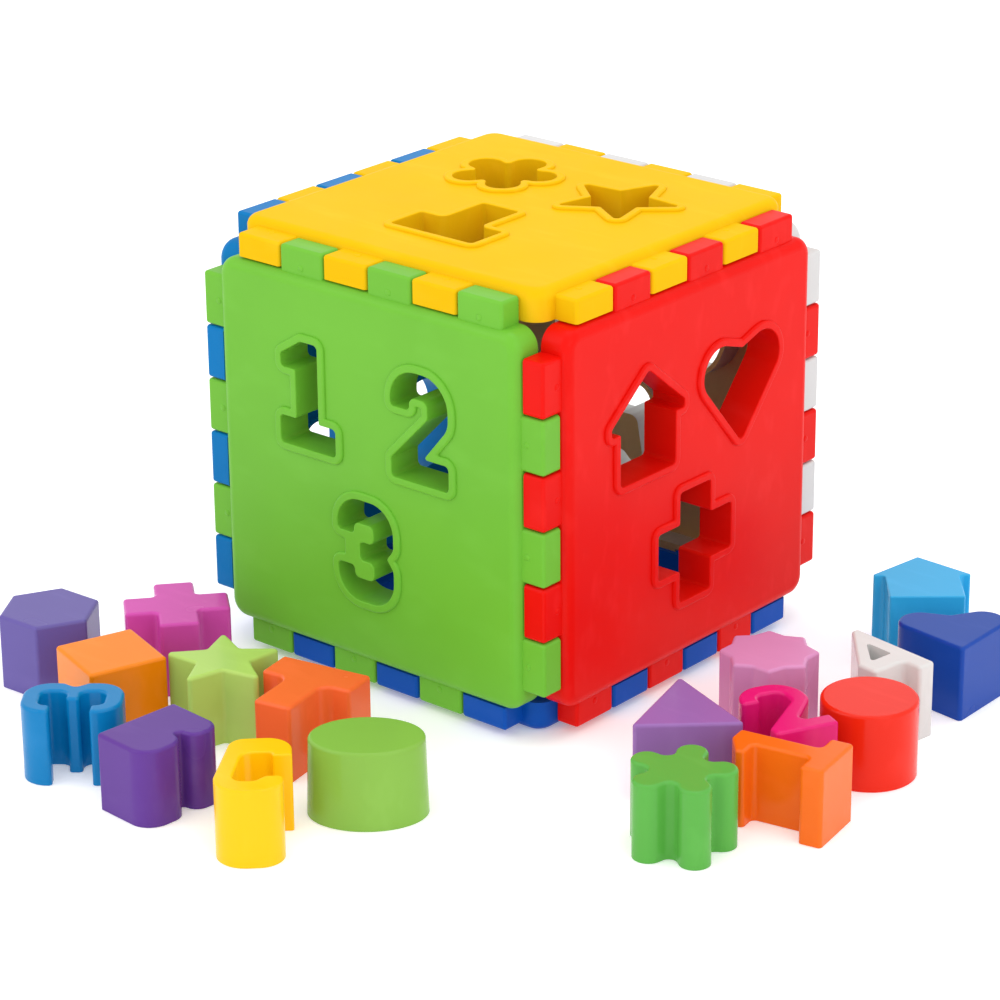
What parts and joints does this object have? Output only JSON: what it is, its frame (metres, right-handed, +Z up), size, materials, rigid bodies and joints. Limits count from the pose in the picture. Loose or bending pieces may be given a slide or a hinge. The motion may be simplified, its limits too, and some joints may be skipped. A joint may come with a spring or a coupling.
{
  "type": "shape sorter",
  "caption": "Shape-sorting cube of interlocking coloured plastic panels with shaped holes, and the loose blocks that are posted through them.",
  "frame": {"origin": "on the floor, at the middle of the cube's underside", "axes": "+Z up, -Y out of the front (figure) panel, +X out of the right (house, heart and plus) panel"},
  "size_m": [0.3543, 0.342, 0.1872],
  "materials": {
    "front_panel": "moulded, satin gloss",
    "right_panel": "moulded, satin gloss",
    "back_panel": "moulded, satin gloss",
    "left_panel": "moulded, satin gloss",
    "top_panel": "moulded, satin gloss",
    "bottom_panel": "moulded, satin gloss",
    "block_hexagon": "moulded, satin gloss",
    "block_plus": "moulded, satin gloss",
    "block_square": "moulded, satin gloss",
    "block_star": "moulded, satin gloss",
    "block_tee": "moulded, satin gloss",
    "block_three": "moulded, satin gloss",
    "block_lobes": "moulded, satin gloss",
    "block_six": "moulded, satin gloss",
    "block_oval": "moulded, satin gloss",
    "block_house": "moulded, satin gloss",
    "block_heart": "moulded, satin gloss",
    "block_four": "moulded, satin gloss",
    "block_burst": "moulded, satin gloss",
    "block_triangle": "moulded, satin gloss",
    "block_two": "moulded, satin gloss",
    "block_circle": "moulded, satin gloss",
    "block_one": "moulded, satin gloss",
    "block_flower": "moulded, satin gloss"
  },
  "bodies": {
    "front_panel": {"front_panel": "front_panel"},
    "right_panel": {"right_panel": "right_panel"},
    "back_panel": {"back_panel": "back_panel"},
    "left_panel": {"left_panel": "left_panel"},
    "top_panel": {"top_panel": "top_panel"},
    "bottom_panel": {"bottom_panel": "bottom_panel"},
    "block_hexagon": {"block_hexagon": "block_hexagon"},
    "block_plus": {"block_plus": "block_plus"},
    "block_square": {"block_square": "block_square"},
    "block_star": {"block_star": "block_star"},
    "block_tee": {"block_tee": "block_tee"},
    "block_three": {"block_three": "block_three"},
    "block_lobes": {"block_lobes": "block_lobes"},
    "block_six": {"block_six": "block_six"},
    "block_oval": {"block_oval": "block_oval"},
    "block_house": {"block_house": "block_house"},
    "block_heart": {"block_heart": "block_heart"},
    "block_four": {"block_four": "block_four"},
    "block_burst": {"block_burst": "block_burst"},
    "block_triangle": {"block_triangle": "block_triangle"},
    "block_two": {"block_two": "block_two"},
    "block_circle": {"block_circle": "block_circle"},
    "block_one": {"block_one": "block_one"},
    "block_flower": {"block_flower": "block_flower"}
  },
  "joints": [
    {"name": "top_lift", "type": "slide", "parent": "bottom_panel", "child": "top_panel", "axis": [0, 0, 1], "range_m": [0, 0.12]},
    {"name": "front_pull", "type": "slide", "parent": "bottom_panel", "child": "front_panel", "axis": [0, -1, 0], "range_m": [0, 0.012]},
    {"name": "right_pull", "type": "slide", "parent": "bottom_panel", "child": "right_panel", "axis": [1, 0, 0], "range_m": [0, 0.012]},
    {"name": "back_pull", "type": "slide", "parent": "bottom_panel", "child": "back_panel", "axis": [0, 1, 0], "range_m": [0, 0.012]},
    {"name": "left_pull", "type": "slide", "parent": "bottom_panel", "child": "left_panel", "axis": [-1, 0, 0], "range_m": [0, 0.012]},
    {"name": "hexagon_lift", "type": "slide", "parent": "bottom_panel", "child": "block_hexagon", "axis": [0, 0, 1], "range_m": [0, 0.06]},
    {"name": "plus_lift", "type": "slide", "parent": "bottom_panel", "child": "block_plus", "axis": [0, 0, 1], "range_m": [0, 0.06]},
    {"name": "square_lift", "type": "slide", "parent": "bottom_panel", "child": "block_square", "axis": [0, 0, 1], "range_m": [0, 0.06]},
    {"name": "star_lift", "type": "slide", "parent": "bottom_panel", "child": "block_star", "axis": [0, 0, 1], "range_m": [0, 0.06]},
    {"name": "tee_lift", "type": "slide", "parent": "bottom_panel", "child": "block_tee", "axis": [0, 0, 1], "range_m": [0, 0.06]},
    {"name": "three_lift", "type": "slide", "parent": "bottom_panel", "child": "block_three", "axis": [0, 0, 1], "range_m": [0, 0.06]},
    {"name": "lobes_lift", "type": "slide", "parent": "bottom_panel", "child": "block_lobes", "axis": [0, 0, 1], "range_m": [0, 0.06]},
    {"name": "six_lift", "type": "slide", "parent": "bottom_panel", "child": "block_six", "axis": [0, 0, 1], "range_m": [0, 0.06]},
    {"name": "oval_lift", "type": "slide", "parent": "bottom_panel", "child": "block_oval", "axis": [0, 0, 1], "range_m": [0, 0.06]},
    {"name": "house_lift", "type": "slide", "parent": "bottom_panel", "child": "block_house", "axis": [0, 0, 1], "range_m": [0, 0.06]},
    {"name": "heart_lift", "type": "slide", "parent": "bottom_panel", "child": "block_heart", "axis": [0, 0, 1], "range_m": [0, 0.06]},
    {"name": "four_lift", "type": "slide", "parent": "bottom_panel", "child": "block_four", "axis": [0, 0, 1], "range_m": [0, 0.06]},
    {"name": "burst_lift", "type": "slide", "parent": "bottom_panel", "child": "block_burst", "axis": [0, 0, 1], "range_m": [0, 0.06]},
    {"name": "triangle_lift", "type": "slide", "parent": "bottom_panel", "child": "block_triangle", "axis": [0, 0, 1], "range_m": [0, 0.06]},
    {"name": "two_lift", "type": "slide", "parent": "bottom_panel", "child": "block_two", "axis": [0, 0, 1], "range_m": [0, 0.06]},
    {"name": "circle_lift", "type": "slide", "parent": "bottom_panel", "child": "block_circle", "axis": [0, 0, 1], "range_m": [0, 0.06]},
    {"name": "one_lift", "type": "slide", "parent": "bottom_panel", "child": "block_one", "axis": [0, 0, 1], "range_m": [0, 0.06]},
    {"name": "flower_lift", "type": "slide", "parent": "bottom_panel", "child": "block_flower", "axis": [0, 0, 1], "range_m": [0, 0.06]}
  ]
}
